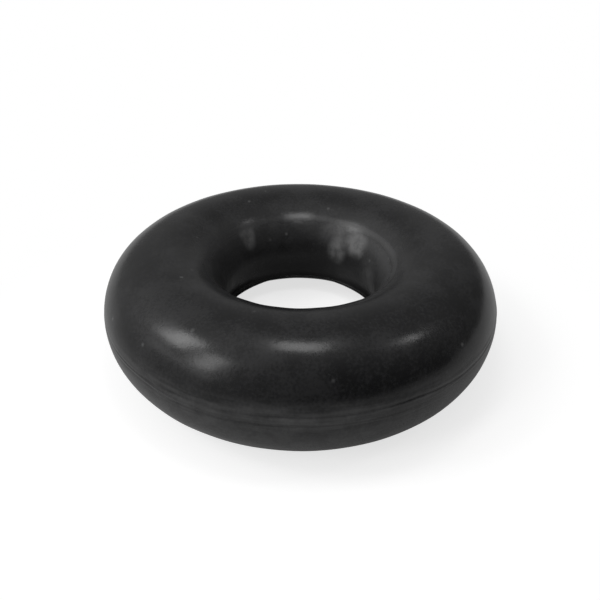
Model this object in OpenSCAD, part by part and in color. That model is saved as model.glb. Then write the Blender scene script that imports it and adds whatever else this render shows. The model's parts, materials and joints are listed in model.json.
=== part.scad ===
// A thick moulded rubber O-ring, lying flat, with its axis along +Z.
// The origin is the centre of the ring, halfway up its round section.
// All sizes are in millimetres.

/* [Ring] */
// Diameter of the hole through the ring, at its waist
inside_d = 8; // [4:0.5:60]
// Diameter of the round section
section_d = 6; // [4:0.1:8]

/* [Outer parting line] */
// Height of the mould's parting plane above the middle of the section
parting_up = 0.4; // [-0.6:0.05:0.6]
// Height of the trimmed flash band round the outside of the ring
outer_band_h = 0.36; // [0.1:0.02:0.6]
// How far the outer band stands out from the round section
outer_band_proud = 0.03; // [0.01:0.01:0.1]

/* [Marks of the mould's core, round the hole] */
// Angle of the core's upper line above the waist of the hole, about the section's centre
core_line_angle = 40; // [20:1:60]
// Radius of the fine bead that the core's upper edge leaves
core_line_r = 0.12; // [0.06:0.01:0.2]
// How far the bead stands out from the round section
core_line_proud = 0.03; // [0.01:0.01:0.05]
// Angle of the core's lower edge below the waist of the hole, about the section's centre
core_fin_angle = 37; // [20:1:50]
// Thickness of the thin fin of flash that is left at the core's lower edge
core_fin_t = 0.16; // [0.08:0.02:0.3]
// How far the fin reaches into the hole from the round section
core_fin_reach = 0.4; // [0.1:0.05:0.6]
// Height of the straight land that the core leaves at the waist of the hole
waist_land_h = 0.24; // [0.1:0.02:0.6]
// How far the land stands into the hole from the round section
waist_land_proud = 0.02; // [0.01:0.01:0.1]

/* [Hidden] */

section_r = section_d / 2;
hole_r = inside_d / 2;
// Radius from the ring's axis to the centre of its round section
ring_r = hole_r + section_r;
// Each band, land and fin reaches this far under the round surface, so that it is fused to the ring
root = section_r / 2;
section_facets = 144;
turn_facets = 192;

// The round cord itself, as its section beside the axis
module round_section() {
    translate([ring_r, 0])
        circle(r = section_r, $fn = section_facets);
}

// The band that is left on the outside, where the flash between the mould halves was cut off
module outer_band() {
    translate([ring_r + section_r - root, parting_up - outer_band_h / 2])
        square([root + outer_band_proud, outer_band_h]);
}

// The narrow straight wall at the waist of the hole, which seats on a shaft
module waist_land() {
    translate([hole_r - waist_land_proud, -waist_land_h / 2])
        square([root + waist_land_proud, waist_land_h]);
}

// The fine bead on the hole's upper shoulder, where the mould's core met its upper half
module core_line() {
    bead_reach = section_r + core_line_proud - core_line_r;
    translate([ring_r, 0])
        rotate(180 - core_line_angle)
            translate([bead_reach, 0])
                circle(r = core_line_r, $fn = 32);
}

// The thin fin on the hole's lower shoulder, torn off short where the core met the lower half
module core_fin() {
    wall_r = ring_r - section_r * cos(core_fin_angle);
    fin_up = -section_r * sin(core_fin_angle);
    translate([wall_r - core_fin_reach, fin_up - core_fin_t / 2])
        square([root + core_fin_reach, core_fin_t]);
}

module o_ring() {
    color("#1d1d1e")
        rotate_extrude($fn = turn_facets)
            union() {
                round_section();
                outer_band();
                waist_land();
                core_line();
                core_fin();
            }
}

o_ring();
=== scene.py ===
"""A thick black rubber O-ring as it looks: its moulded skin, the light on it and the camera."""

import json
import math

import bpy
import numpy as np
from mathutils import Matrix, Vector


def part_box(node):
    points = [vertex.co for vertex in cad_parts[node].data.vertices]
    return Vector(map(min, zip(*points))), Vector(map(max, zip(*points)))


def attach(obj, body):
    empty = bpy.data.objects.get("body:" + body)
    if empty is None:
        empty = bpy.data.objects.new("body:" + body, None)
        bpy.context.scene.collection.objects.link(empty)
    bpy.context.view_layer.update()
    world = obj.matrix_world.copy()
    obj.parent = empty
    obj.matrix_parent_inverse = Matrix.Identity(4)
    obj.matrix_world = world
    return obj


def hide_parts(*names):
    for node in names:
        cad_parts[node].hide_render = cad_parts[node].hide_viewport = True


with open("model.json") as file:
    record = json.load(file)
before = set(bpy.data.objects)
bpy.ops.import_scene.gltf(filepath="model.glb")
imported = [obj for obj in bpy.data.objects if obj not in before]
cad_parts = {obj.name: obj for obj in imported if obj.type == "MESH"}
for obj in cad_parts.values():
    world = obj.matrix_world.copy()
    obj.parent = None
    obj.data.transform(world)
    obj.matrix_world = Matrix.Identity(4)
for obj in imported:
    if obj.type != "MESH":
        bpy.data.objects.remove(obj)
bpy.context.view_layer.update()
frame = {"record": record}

# Lengths in this script are in millimetres, and become metres where Blender needs them.
MM = 0.001
SEED = 7

# The ring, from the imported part: its lowest corner, and the band and land that its two mounts are measured on
ring_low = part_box("o_ring")[0] / MM
mounts = {mount["name"]: mount for mount in frame["record"]["mounts"]}
OUTER_BAND_PROUD = 0.03
WAIST_LAND_PROUD = 0.02
HOLE_R = mounts["shaft_seat"]["dims"]["r_mm"] + WAIST_LAND_PROUD
OUTER_R = mounts["housing_seat"]["dims"]["r_mm"] - OUTER_BAND_PROUD
SECTION_R = (OUTER_R - HOLE_R) / 2
RING_R = (OUTER_R + HOLE_R) / 2
PARTING_UP = mounts["housing_seat"]["pos_m"][2] / MM
OUTER_BAND_H = mounts["housing_seat"]["dims"]["length_mm"]

# Angles round the ring start at the side that faces the camera and grow towards the camera's right. Angles
# round the section start at the outside, with the top at 90 degrees and the waist of the hole at 180.

# The outer band: how far it wanders up and down as it goes round, and the angle that this starts from
BAND_WANDER = 0.07
BAND_WANDER_AT = math.radians(20)
# Its half height where its two grooves run together, and how much this grows where they part
BAND_LEAST_HALF = 0.03
BAND_OPENS_BY = OUTER_BAND_H / 2 - 0.02
# Where they part: about the front, and about an angle in radians near the back. Each pair is the cosines of
# the angle from there, between which they go from together to apart.
BAND_OPENS = 0.70, 0.92
BAND_BEHIND_AT = 2.6
BAND_OPENS_BEHIND = 0.55, 0.90
# How uneven the band's edges are, and the share of its proudness that wear has left
BAND_UNEVEN = 0.012
BAND_LEFT = 0.60
# Its grooves: how far outside the edge, how deep and how wide, and what changes where they are sharp
GROOVE_OUTSIDE = 0.02
GROOVE_DEPTH = 0.017
GROOVE_DEEPER = 0.010
GROOVE_WIDTH = 0.10
GROOVE_NARROWER = 0.04
# The lip above it where it is sharp: how far above the edge, its half width, and its share of the depth
LIP_ABOVE = 0.18
LIP_WIDTH = 0.07
LIP_SHARE = 0.8

# The marks of the mould's core round the hole: a fine line on the upper shoulder, by its angle round the
# section, and a thin fin of flash on the lower one, by its angle below the waist
CORE_LINE = math.radians(140)
CORE_LINE_PROUD = 0.03
CORE_LINE_WIDTH = 0.18
# Where round the ring that line shows the most, with its bead highest and its painted highlight strongest,
# how far above it, in radians round the section, the strip of painted highlight lies, and how far the wall
# below it is sunk
CORE_LINE_SHOWS_MOST = math.radians(132)
HIGHLIGHT_STRIP_ABOVE = 0.04
CORE_WALL_SUNK = 0.008
FIN_ANGLE = math.radians(37)
FIN_UP = -SECTION_R * math.sin(FIN_ANGLE)
FIN_T = 0.16
FIN_REACH = 0.4
# The share of the fin's reach that stands, and how much less of it does at the back
FIN_STANDS = 0.96
FIN_LESS_BEHIND = 0.26

# The heights of the skin's slow waviness and of the draw marks on the core's wall
SKIN_WAVES = 0.008
DRAW_MARKS = 0.006

# Vertices round the ring and round its section, and the finer steps that these are spaced by
TURN_STEPS = 400
SECTION_STEPS = 220
SPACING_STEPS = 7201


# ---------------------------------------------------------------- the ring's form

def smooth_step(x, low, high):
    """0 up to the low value, 1 from the high one, and a smooth rise between them."""
    t = np.clip((x - low) / (high - low), 0, 1)
    return t * t * (3 - 2 * t)


def groove(distance, half_width):
    """A soft groove's depth at a distance from its middle, from 1 down to 0."""
    return np.exp(-((distance / half_width) ** 2))


def waves(random, turn, around, count, turn_rate, around_rate):
    """Seamless noise over the ring, about -1 to 1: a sum of waves that close up both ways round."""
    total = np.zeros(np.broadcast(turn, around).shape)
    for _ in range(count):
        m = random.integers(-turn_rate, turn_rate + 1)
        n = random.integers(-around_rate, around_rate + 1)
        total += np.cos(m * turn + n * around + random.uniform(0, 2 * math.pi))
    return np.clip(total / math.sqrt(count / 2) / 2.5, -1, 1)


def edge_waves(random, turn, count, turn_rate):
    """The same for something that runs round the ring, and so changes only with the turn."""
    return waves(random, turn, 0 * turn, count, turn_rate, 0)


def section_angles():
    """Angles round the section, closer together where the outer band and the core's marks need it."""
    fine = np.linspace(-math.pi, math.pi, SPACING_STEPS)
    closer = np.ones_like(fine)
    for centre, half_width, closeness in (
        (math.asin(PARTING_UP / SECTION_R), 0.16, 5.0),
        (FIN_ANGLE - math.pi, 0.045, 9.0),
        (CORE_LINE, 0.08, 5.0),
    ):
        closer += closeness * np.exp(-((fine - centre) / half_width) ** 4)
    reach = np.cumsum(closer)
    reach = (reach - reach[0]) / (reach[-1] - reach[0])
    steps = np.arange(SECTION_STEPS) / SECTION_STEPS
    return np.interp(steps, reach, fine)


def outer_band_relief(turn, height, random):
    """The flash band round the outside: a low land between two faint grooves, which run together in places.

    It is sharp to the right of the front, with a lip and one groove, and worn soft elsewhere.
    """
    centre = PARTING_UP + BAND_WANDER * np.sin(turn + BAND_WANDER_AT)
    centre = centre + BAND_UNEVEN * edge_waves(random, turn, 10, 40)
    spread = smooth_step(np.cos(turn), *BAND_OPENS)
    spread = spread + smooth_step(np.cos(turn - BAND_BEHIND_AT), *BAND_OPENS_BEHIND)
    half = BAND_LEAST_HALF + BAND_OPENS_BY * spread + BAND_UNEVEN * edge_waves(random, turn, 14, 90)
    worn = 0.70 + 0.30 * edge_waves(random, turn, 12, 30)
    sharp = smooth_step(np.sin(turn), 0.0, 0.6)
    width = GROOVE_WIDTH - GROOVE_NARROWER * sharp
    off = height - centre
    land = BAND_LEFT * smooth_step(half - np.abs(off), -0.08, 0.08)
    upper = groove(off - half - GROOVE_OUTSIDE, width)
    lower = 0.7 * groove(off + half + GROOVE_OUTSIDE, width) * (1 - sharp)
    lip = LIP_SHARE * sharp * groove(off - half - LIP_ABOVE, LIP_WIDTH)
    depth = (GROOVE_DEPTH + GROOVE_DEEPER * sharp) * worn
    return OUTER_BAND_PROUD * land + depth * (lip - np.minimum(upper + lower, 1))


def core_line_relief(turn, around, random):
    """The core's line on the hole's upper shoulder, and the slightly sunk wall below it."""
    arc = (around - CORE_LINE) * SECTION_R
    worn = 0.75 + 0.25 * edge_waves(random, turn, 10, 24)
    bead_and_highlight = smooth_step(np.cos(turn - CORE_LINE_SHOWS_MOST), 0.6, 1.0)
    bead = (0.01 + 0.30 * bead_and_highlight) * CORE_LINE_PROUD * worn * groove(arc, CORE_LINE_WIDTH)
    return bead - CORE_WALL_SUNK * smooth_step(arc, -0.12, 0.45)


def fin_reach(turn, height, random):
    """How far the core's torn fin stands into the hole at each height: a thin tongue with an uneven edge."""
    behind = smooth_step(-np.cos(turn), 0.72, 0.98)
    torn = FIN_STANDS - FIN_LESS_BEHIND * behind + 0.03 * edge_waves(random, turn, 10, 12)
    torn = torn + 0.01 * edge_waves(random, turn, 16, 110)
    off = np.abs(height - FIN_UP)
    tongue = 1 - np.clip(2 * off / FIN_T, 0, 1) ** 4
    root = 0.5 * np.exp(-np.clip(off - FIN_T / 2, 0, None) / FIN_T)
    return FIN_REACH * torn * np.maximum(tongue, root)


def skin_relief(turn, around, random):
    """The skin's slow waviness, and the upright draw marks on the core's wall. It only goes inwards."""
    slow = SKIN_WAVES * (waves(random, turn, around, 40, 22, 9) - 1.5)
    core_wall = smooth_step(np.abs(around), CORE_LINE - 0.02, CORE_LINE + 0.10)
    drawn = DRAW_MARKS * (waves(random, turn, around, 24, 26, 4) - 1)
    return slow + core_wall * drawn


def ring_points():
    """The skin's vertices, as a grid by the angle round the ring and the angle round the section."""
    random = np.random.default_rng(SEED)
    turn = (np.arange(TURN_STEPS) / TURN_STEPS * 2 * math.pi)[:, None]
    around = section_angles()[None, :]
    height = SECTION_R * np.sin(around)
    outside = smooth_step(np.cos(around), 0.8, 0.9)
    inside = np.cos(around) < 0
    above = around > 0
    relief = skin_relief(turn, around, random)
    relief = relief + outside * outer_band_relief(turn, height, random)
    relief = relief + above * core_line_relief(turn, around, random)
    radius = SECTION_R + relief
    out = RING_R + radius * np.cos(around) - inside * fin_reach(turn, height, random)
    return np.stack([out * np.sin(turn), -out * np.cos(turn), radius * np.sin(around)], -1)


def make_ring():
    """The ring's mesh: one closed grid of quads over the vertices."""
    points = ring_points()
    turns, arounds = points.shape[:2]
    index = np.arange(turns * arounds).reshape(turns, arounds)
    after, above = np.roll(index, -1, 0), np.roll(index, -1, 1)
    faces = np.stack([index, after, np.roll(after, -1, 1), above], -1).reshape(-1, 4)
    mesh = bpy.data.meshes.new("rubber_ring")
    mesh.from_pydata((points * MM).reshape(-1, 3).tolist(), [], faces.tolist())
    mesh.polygons.foreach_set("use_smooth", [True] * len(faces))
    mesh.update()
    ring = bpy.data.objects.new("rubber_ring", mesh)
    bpy.context.scene.collection.objects.link(ring)
    return ring


# ---------------------------------------------------------------- the rubber

# The rubber's own two blacks, which mottle it
DEEP_BLACK = (0.0060, 0.0060, 0.0064, 1)
SOFT_BLACK = (0.0170, 0.0170, 0.0177, 1)

# Painted highlights on the wall of the hole, where lamps reflect in it: angle round the ring in degrees, height
# in millimetres, the half width and half height in the same units, and how strong
WALL_HIGHLIGHTS = (
    (133, 1.14, 8, 0.50, 0.88),
    (149, 0.54, 6, 0.60, 0.88),
    (-137, 1.58, 4.5, 0.62, 0.66),
    (112, 0.10, 9, 0.60, 0.25),
    (141, -1.00, 13, 0.60, 0.13),
)

# How much paler than the rubber each mark is. Painted light lies on the upper part of the core's wall, on that
# wall round the waist and on the shoulder above it, and a painted reflection of the floor on the ring's lower
# half.
# Then come a painted highlight on the band, the marks of trimming along it, painted highlights on the hole's
# wall, a dust speck and the painted highlight along the core's line.
WALL_PAINTED_LIGHT = 0.038
LOW_WALL_PAINTED_LIGHT = 0.014
SHOULDER_PAINTED_LIGHT = 0.020
LOWER_PAINTED_REFLECTION = 0.035
BAND_HIGHLIGHT_PALER = 0.010
TRIM_MARKS = 0.026
WALL_HIGHLIGHT_PALER = 0.13
DUST_SHADE = 0.07
LINE_HIGHLIGHT_PALER = 0.025

# Where round the ring the painted light on the wall is strongest, where round the section the shoulder's
# painted light comes in, and where round the ring the band's grooves are the darkest
WALL_LIGHT_STRONGEST_AT = math.radians(97)
SHOULDER_COMES_IN = 1.92, 2.32
GROOVE_DARKEST_AT = math.radians(40)

# The share of a pattern's cells that hold a dust speck, and how many cells lie along a millimetre
DUST_CHANCE = 0.45
DUST_CELLS = 0.9

# The bump's depth, and how strongly it follows the specks, the grain, the patches and the draw marks
BUMP_DEPTH = 0.006
BUMP_SPECK, BUMP_GRAIN, BUMP_PATCHES, BUMP_DRAWN = 0.8, 0.6, 1.5, 12.0


class Nodes:
    """A short way to add and link shader nodes."""

    def __init__(self, tree):
        self.tree = tree
        tree.nodes.clear()

    def add(self, kind, settings=None, **inputs):
        """Add a node. An input is given by its name, with _ for a space, or by _ and its number."""
        node = self.tree.nodes.new(kind)
        for name, value in (settings or {}).items():
            setattr(node, name, value)
        for name, value in inputs.items():
            self.feed(node, name, value)
        return node

    def feed(self, node, name, value):
        socket = node.inputs[int(name[1:])] if name[0] == "_" else node.inputs[name.replace("_", " ")]
        if isinstance(value, bpy.types.NodeSocket):
            self.tree.links.new(value, socket)
        else:
            socket.default_value = value

    def math(self, operation, *values):
        node = self.add("ShaderNodeMath", {"operation": operation})
        for i, value in enumerate(values):
            self.feed(node, f"_{i}", value)
        return node.outputs[0]

    def product(self, first, *others):
        for other in others:
            first = self.math("MULTIPLY", first, other)
        return first

    def away_from(self, value, centre):
        return self.math("ABSOLUTE", self.math("SUBTRACT", value, centre))

    def stretched(self, vector, factors):
        return self.add("ShaderNodeVectorMath", {"operation": "MULTIPLY"}, _0=vector, _1=factors).outputs[0]

    def length(self, vector):
        return self.add("ShaderNodeVectorMath", {"operation": "LENGTH"}, _0=vector).outputs["Value"]

    def ramp(self, value, low, high, to_low=0.0, to_high=1.0):
        node = self.add(
            "ShaderNodeMapRange", {"interpolation_type": "SMOOTHSTEP"},
            Value=value, From_Min=low, From_Max=high, To_Min=to_low, To_Max=to_high,
        )
        return node.outputs["Result"]

    def noise(self, vector, scale, detail, roughness=0.5):
        node = self.add(
            "ShaderNodeTexNoise", Vector=vector, Scale=scale, Detail=detail, Roughness=roughness
        )
        return node.outputs["Fac"]

    def rays(self):
        """Whether the camera sees a point itself, and whether it sees it mirrored or through glass."""
        path = self.add("ShaderNodeLightPath").outputs
        mirrored = self.math("MAXIMUM", path["Is Glossy Ray"], path["Is Transmission Ray"])
        return path["Is Camera Ray"], mirrored


class Skin:
    """Where a point of the ring's skin is, and the noises there, as shader values in millimetres."""

    def __init__(self, n):
        place = n.add("ShaderNodeTexCoord").outputs["Object"]
        in_mm = n.add("ShaderNodeVectorMath", {"operation": "SCALE"}, _0=place, Scale=1 / MM).outputs[0]
        self.in_mm = in_mm
        split = n.add("ShaderNodeSeparateXYZ", Vector=in_mm).outputs
        self.up = split["Z"]
        self.out = n.length(n.stretched(in_mm, (1, 1, 0)))

        # The two angles, as in ring_points, and how far to the front a point is, from -1 to 1
        self.turn = n.math("ARCTAN2", split["X"], n.math("MULTIPLY", split["Y"], -1.0))
        self.around = n.math("ARCTAN2", self.up, n.math("SUBTRACT", self.out, RING_R))
        self.frontness = n.math("COSINE", self.turn)

        # The rougher wall that the core left
        self.core_wall = n.ramp(n.math("ABSOLUTE", self.around), CORE_LINE - 0.02, CORE_LINE + 0.12)

        self.cloud = n.noise(in_mm, 0.5, 5.0, 0.6)
        self.patches = n.noise(in_mm, 1.6, 4.0, 0.6)
        self.grain = n.noise(in_mm, 8.0, 3.0)
        self.drawn = n.noise(n.stretched(in_mm, (1, 1, 0.25)), 1.1, 3.0)


def towards(n, skin, angle):
    """How nearly a point lies at an angle round the ring, from -1 to 1."""
    return n.math("COSINE", n.math("SUBTRACT", skin.turn, angle))


def painted_wall_highlights(n, skin):
    """Painted highlights on the wall of the hole: soft spots, each at an angle round the ring and a height,
    with small pits.
    """
    total = 0.0
    for at_turn, at_height, half_turn, half_height, strength in WALL_HIGHLIGHTS:
        # The square of the distance from the spot's middle, in its half widths and half heights
        turned = n.math("SUBTRACT", skin.turn, math.radians(at_turn))
        along = n.math("DIVIDE", turned, math.radians(half_turn))
        above = n.math("DIVIDE", n.math("SUBTRACT", skin.up, at_height), half_height)
        away = n.math("MULTIPLY_ADD", along, along, n.math("MULTIPLY", above, above))
        faded = n.math("POWER", n.ramp(away, 3.4, -0.4), 1.6)
        total = n.math("MULTIPLY_ADD", faded, strength, total)
    return n.product(total, skin.core_wall, n.ramp(skin.patches, 0.30, 0.66, 0.40, 1.2))


def dust(n, skin):
    """A speck at the middle of a few of the cells that a pattern divides the skin into."""
    cells = n.add("ShaderNodeTexVoronoi", Vector=skin.in_mm, Scale=DUST_CELLS)
    cell_random = n.add("ShaderNodeSeparateXYZ", Vector=cells.outputs["Color"]).outputs
    held = n.math("LESS_THAN", cell_random["X"], DUST_CHANCE)
    return n.product(held, cell_random["Y"], n.ramp(cells.outputs["Distance"], 0.12, 0.02))


def rubber_black(n, skin):
    """The rubber's own colour, mottled. Low on the core's wall it is painted deep black, as painted shade deep
    in the hole.
    """
    mottle = n.math("MULTIPLY_ADD", n.math("SUBTRACT", skin.grain, 0.5), 0.55, skin.cloud)
    # Painted shade: the hole's wall is painted deep black low down, where little light reaches.
    painted_low_shade = n.math("MULTIPLY", skin.core_wall, n.ramp(skin.up, 0.6, -1.2))
    pale = n.math("MULTIPLY", n.ramp(mottle, 0.35, 0.68), n.math("SUBTRACT", 1.0, painted_low_shade))
    mix = n.add("ShaderNodeMix", {"data_type": "RGBA"}, Factor=pale, _6=DEEP_BLACK, _7=SOFT_BLACK)
    return mix.outputs[2]


def hole_painted_light(n, skin):
    """The painted light in the hole, each with its strength: on the upper wall, stronger to one side, on the
    lower wall and on the shoulder.
    """
    to_side = n.ramp(towards(n, skin, WALL_LIGHT_STRONGEST_AT), 0.6, 1.0, 0.12, 0.75)
    upper_wall = n.product(skin.core_wall, to_side, n.ramp(skin.up, -0.2, 2.1))
    off_back = n.ramp(skin.frontness, -0.97, -0.4, 0.75, 1.0)
    lower_wall = n.product(skin.core_wall, off_back, n.ramp(skin.up, -1.1, 0.3))
    off_back = n.ramp(skin.frontness, -1.0, -0.3, 0.5, 1.0)
    off_wall = n.math("SUBTRACT", 1.0, skin.core_wall)
    shoulder = n.product(n.ramp(skin.around, *SHOULDER_COMES_IN), off_wall, off_back)
    return (upper_wall, WALL_PAINTED_LIGHT), (lower_wall, LOW_WALL_PAINTED_LIGHT), (shoulder, SHOULDER_PAINTED_LIGHT)


def outside_marks(n, skin):
    """The outside's marks, each with its strength: a painted reflection of the floor on the lower half, a
    painted highlight on the band, and the band's trimming marks.

    The grooves get less of the painted reflection, as painted shade in them. The band runs as in
    outer_band_relief.
    """
    to_front = n.ramp(skin.frontness, 0.5, 1.0, 0.5, 1.0)
    outside = n.math("MULTIPLY", to_front, n.ramp(skin.out, RING_R - 0.3, RING_R + 0.8))

    wander = n.math("SINE", n.math("ADD", skin.turn, BAND_WANDER_AT))
    off_band = n.away_from(skin.up, n.math("MULTIPLY_ADD", wander, BAND_WANDER, PARTING_UP))
    spread = n.ramp(skin.frontness, *BAND_OPENS)
    groove_at = n.math("MULTIPLY_ADD", spread, BAND_OPENS_BY, BAND_LEAST_HALF + GROOVE_OUTSIDE)
    # Painted shade in the grooves: they get less of the painted reflection, most towards one side.
    in_groove = n.ramp(n.away_from(off_band, groove_at), 0.07, 0.015)
    darker = n.ramp(towards(n, skin, GROOVE_DARKEST_AT), 0.3, 1.0, -0.15, -0.55)
    grooved = n.math("MULTIPLY_ADD", in_groove, darker, 1.0)

    patchy = n.ramp(skin.patches, 0.3, 0.7, 0.7, 1.3)
    # Painted reflection of the floor: paler low down on the outside, towards the front.
    floor_reflection = n.product(n.ramp(skin.up, 1.4, 0.4), patchy, grooved, outside)
    # Painted highlight on the band's land at the front.
    band_highlight = n.product(n.ramp(off_band, 0.17, 0.09), spread, outside)
    streaks = n.noise(n.stretched(skin.in_mm, (0.35, 0.35, 4.5)), 1.0, 3.0)
    trimmed = n.product(n.ramp(streaks, 0.35, 0.65, -0.5, 0.5), n.ramp(off_band, 0.9, 0.3), outside)
    return (floor_reflection, LOWER_PAINTED_REFLECTION), (band_highlight, BAND_HIGHLIGHT_PALER), (trimmed, TRIM_MARKS)


def rubber_roughness(n, skin, wall_highlight, core_edge):
    """Smooth rubber, rougher where the core drew along the wall and where the wall's highlights are painted.

    It is rougher at the core's line too, but not right at the back.
    """
    rough = n.ramp(skin.cloud, 0.3, 0.7, 0.19, 0.23)
    rough = n.math("MULTIPLY_ADD", skin.core_wall, n.ramp(skin.drawn, 0.35, 0.65, 0.06, 0.16), rough)
    rough = n.math("MULTIPLY_ADD", skin.patches, 0.03, rough)
    rough = n.math("MULTIPLY_ADD", wall_highlight, 0.2, rough)
    off_back = n.ramp(skin.frontness, -0.97, -0.85, 0.0, 0.12)
    return n.math("MULTIPLY_ADD", core_edge, off_back, rough)


def rubber_bump(n, skin, speck):
    """The relief that is too fine for the mesh."""
    height = n.math("MULTIPLY_ADD", speck, BUMP_SPECK, n.math("MULTIPLY", skin.grain, BUMP_GRAIN))
    height = n.math("MULTIPLY_ADD", skin.patches, BUMP_PATCHES, height)
    height = n.math("MULTIPLY_ADD", n.math("MULTIPLY", skin.core_wall, skin.drawn), BUMP_DRAWN, height)
    return n.add("ShaderNodeBump", Strength=0.6, Distance=BUMP_DEPTH * MM, Height=height).outputs[0]


def rubber():
    """The ring's one material: black rubber, with the painted light, highlights and reflection, the dust and
    the trimming marks added on top as paler colour.
    """
    material = bpy.data.materials.new("moulded_black_rubber")
    material.use_nodes = True
    n = Nodes(material.node_tree)
    skin = Skin(n)
    wall_highlight = painted_wall_highlights(n, skin)
    speck = dust(n, skin)
    # A thin strip above the core's line: a painted highlight along it, strongest to one side, and rougher
    # rubber there.
    core_edge = n.ramp(n.away_from(skin.around, CORE_LINE - HIGHLIGHT_STRIP_ABOVE), 0.09, 0.01)
    bead_and_highlight = n.math("MULTIPLY", core_edge, n.ramp(towards(n, skin, CORE_LINE_SHOWS_MOST), -0.2, 1.0))

    # Paler colour added on top: painted light, painted highlights and a painted reflection, with real dust and
    # trimming marks.
    shade = 0.0
    for mark, paler in (
        *hole_painted_light(n, skin),
        *outside_marks(n, skin),
        (wall_highlight, WALL_HIGHLIGHT_PALER),
        (speck, DUST_SHADE),
        (bead_and_highlight, LINE_HIGHLIGHT_PALER),
    ):
        shade = n.math("MULTIPLY_ADD", mark, paler, shade)
    pale = n.add("ShaderNodeCombineXYZ", X=shade, Y=shade, Z=shade).outputs[0]
    shaded = n.add(
        "ShaderNodeMix", {"data_type": "RGBA", "blend_type": "ADD"}, _0=1.0, _6=rubber_black(n, skin), _7=pale
    )
    shader = n.add(
        "ShaderNodeBsdfPrincipled", Base_Color=shaded.outputs[2], Specular_IOR_Level=0.3,
        Roughness=rubber_roughness(n, skin, wall_highlight, core_edge), Normal=rubber_bump(n, skin, speck),
    )
    n.add("ShaderNodeOutputMaterial", Surface=shader.outputs[0])
    return material


# ---------------------------------------------------------------- the studio

# The floor: its half width, its colour, and how far from the ring's centre, in outer radii, it starts and
# ends turning into plain white
FLOOR_HALF = 3000
FLOOR_GREY = (0.45, 0.45, 0.45, 1)
WHITE_STARTS, WHITE_FROM = 1.15, 2.0
# How much the floor near the ring is lifted towards white where the camera sees it, how bright the far
# floor is there, and how strongly mirror-like surfaces see the same
FLOOR_LIFT = 0.7
FLOOR_WHITE = 1.0
LIFT_IN_REFLECTIONS = 0.08
WHITE_IN_REFLECTIONS = 0.50

# The sky's plain light, and how much of its white mirror-like surfaces see
SKY_BASE = 0.03
SKY_WHITE_IN_REFLECTIONS = 0.03
# Its broad glows: azimuth and elevation in degrees, tightness, and radiance at the middle
SKY_GLOWS = (
    (0, 90, 4, 0.26),
    (0, 84, 14, 0.35),
    (-90, 50, 6, 1.05),
    (90, 50, 6, 0.38),
    (180, 30, 5, 0.34),
    (-45, 10, 5, 0.50),
    (-100, 10, 5, 0.40),
)

# How far off the room's lamps stand
LAMP_OFF = 160

# The camera: its lens and sensor in millimetres, its shifts across and up, its elevation in degrees, its
# distance in outer radii and its roll in radians
LENS, SENSOR = 32.87, 36.0
SHIFT_ACROSS, SHIFT_UP = -0.0008, -0.0166
CAMERA_ELEVATION = 32.53
CAMERA_OFF = 2.927
CAMERA_ROLL = 0.0095


def bearing(azimuth, elevation, distance):
    """The place at a bearing from the ring: azimuth 0 is towards the camera, 90 to its right."""
    a, e = math.radians(azimuth), math.radians(elevation)
    return distance * math.sin(a) * math.cos(e), -distance * math.cos(a) * math.cos(e), distance * math.sin(e)


def floor_material():
    """A pale floor that keeps the ring's shadow near it, and is seen as plain white further off."""
    material = bpy.data.materials.new("pale_floor")
    material.use_nodes = True
    n = Nodes(material.node_tree)
    away = n.length(n.add("ShaderNodeTexCoord").outputs["Object"])
    far = n.ramp(away, WHITE_STARTS * OUTER_R * MM, WHITE_FROM * OUTER_R * MM)
    direct, mirrored = n.rays()
    seen = n.math("MAXIMUM", direct, mirrored)
    lifted = n.math("MULTIPLY_ADD", mirrored, LIFT_IN_REFLECTIONS, direct)
    whitened = n.math("MULTIPLY_ADD", mirrored, WHITE_IN_REFLECTIONS, direct)
    lit = n.add("ShaderNodeBsdfDiffuse", Color=FLOOR_GREY).outputs[0]
    lift = n.add("ShaderNodeEmission", Strength=n.math("MULTIPLY", lifted, FLOOR_LIFT)).outputs[0]
    near = n.add("ShaderNodeAddShader", _0=lit, _1=lift).outputs[0]
    white = n.add("ShaderNodeEmission", Strength=n.math("MULTIPLY", whitened, FLOOR_WHITE)).outputs[0]
    shader = n.add("ShaderNodeMixShader", Fac=n.math("MULTIPLY", seen, far), _1=near, _2=white)
    n.add("ShaderNodeOutputMaterial", Surface=shader.outputs[0])
    return material


def make_floor():
    """A wide floor at the ring's lowest point."""
    half = FLOOR_HALF * MM
    level = ring_low.z * MM
    mesh = bpy.data.meshes.new("floor")
    corners = [(-half, -half, level), (half, -half, level), (half, half, level), (-half, half, level)]
    mesh.from_pydata(corners, [], [(0, 1, 2, 3)])
    floor = bpy.data.objects.new("floor", mesh)
    floor.data.materials.append(floor_material())
    bpy.context.scene.collection.objects.link(floor)


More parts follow.
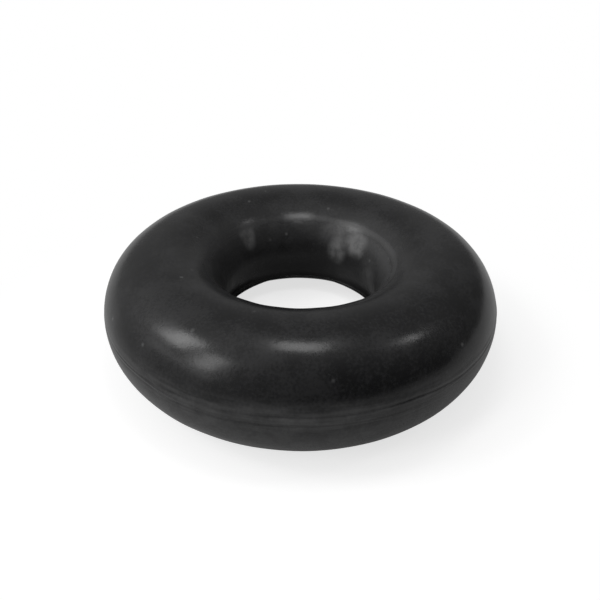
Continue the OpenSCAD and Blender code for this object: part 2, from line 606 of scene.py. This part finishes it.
def make_sky():
    """A plain room, brighter overhead and towards its window.

    The camera sees it white, like the far floor, and mirror-like surfaces see a little of that white.
    """
    world = bpy.data.worlds.new("studio")
    world.use_nodes = True
    n = Nodes(world.node_tree)
    way = n.add("ShaderNodeTexCoord").outputs["Generated"]
    way = n.add("ShaderNodeVectorMath", {"operation": "NORMALIZE"}, _0=way).outputs[0]
    strength = SKY_BASE
    for azimuth, elevation, tightness, radiance in SKY_GLOWS:
        middle = bearing(azimuth, elevation, 1)
        near = n.add("ShaderNodeVectorMath", {"operation": "DOT_PRODUCT"}, _0=way, _1=middle).outputs["Value"]
        glow = n.math("EXPONENT", n.math("MULTIPLY_ADD", near, tightness, -tightness))
        strength = n.math("MULTIPLY_ADD", glow, radiance, strength)
    room = n.add("ShaderNodeBackground", Strength=strength).outputs[0]
    white = n.add("ShaderNodeBackground", Color=(1, 1, 1, 1), Strength=1.0).outputs[0]
    direct, mirrored = n.rays()
    seen = n.math("MULTIPLY_ADD", mirrored, SKY_WHITE_IN_REFLECTIONS, direct)
    both = n.add("ShaderNodeMixShader", Fac=seen, _1=room, _2=white)
    n.add("ShaderNodeOutputWorld", Surface=both.outputs[0])
    bpy.context.scene.world = world


def soft_box(name, place, width, height, radiance):
    """A rectangular lamp at a place in millimetres, facing the ring, as bright as stated at any size."""
    data = bpy.data.lights.new(name, "AREA")
    data.shape = "RECTANGLE"
    data.size, data.size_y = width * MM, height * MM
    data.energy = math.pi * data.size * data.size_y * radiance
    lamp = bpy.data.objects.new(name, data)
    lamp.location = Vector(place) * MM
    lamp.rotation_euler = (-lamp.location).to_track_quat("-Z", "Y").to_euler()
    lamp.visible_camera = False
    bpy.context.scene.collection.objects.link(lamp)


def make_lamps():
    """The room's windows and lamps, each with its width, height and radiance."""
    soft_box("window_wide", bearing(-83, 42, LAMP_OFF), 42, 54, 7.2)
    soft_box("window_narrow", bearing(-54, 36.5, LAMP_OFF), 30, 58, 5.7)
    soft_box("window_low", bearing(-64, 21, LAMP_OFF), 120, 22, 1.0)
    soft_box("overhead", (0, -7.3, 26), 8, 6.5, 6.0)
    soft_box("side", bearing(88, 50, LAMP_OFF), 12, 24, 9.4)


def make_camera():
    """The photo's camera, straight in front of the ring and looking down at its centre."""
    data = bpy.data.cameras.new("camera")
    data.lens, data.sensor_width = LENS, SENSOR
    data.shift_x, data.shift_y = SHIFT_ACROSS, SHIFT_UP
    data.clip_start, data.clip_end = 1 * MM, 10.0
    data.dof.use_dof = False
    camera = bpy.data.objects.new("camera", data)
    camera.location = Vector(bearing(0, CAMERA_ELEVATION, CAMERA_OFF * OUTER_R)) * MM
    aim = (-camera.location).to_track_quat("-Z", "Y").to_matrix()
    camera.rotation_euler = (aim @ Matrix.Rotation(CAMERA_ROLL, 3, "Z")).to_euler()
    bpy.context.scene.collection.objects.link(camera)
    bpy.context.scene.camera = camera


ring = make_ring()
ring.data.materials.append(rubber())
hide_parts("o_ring")
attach(ring, "root")

make_floor()
make_sky()
make_lamps()
make_camera()
bpy.context.scene.view_settings.view_transform = "Standard"
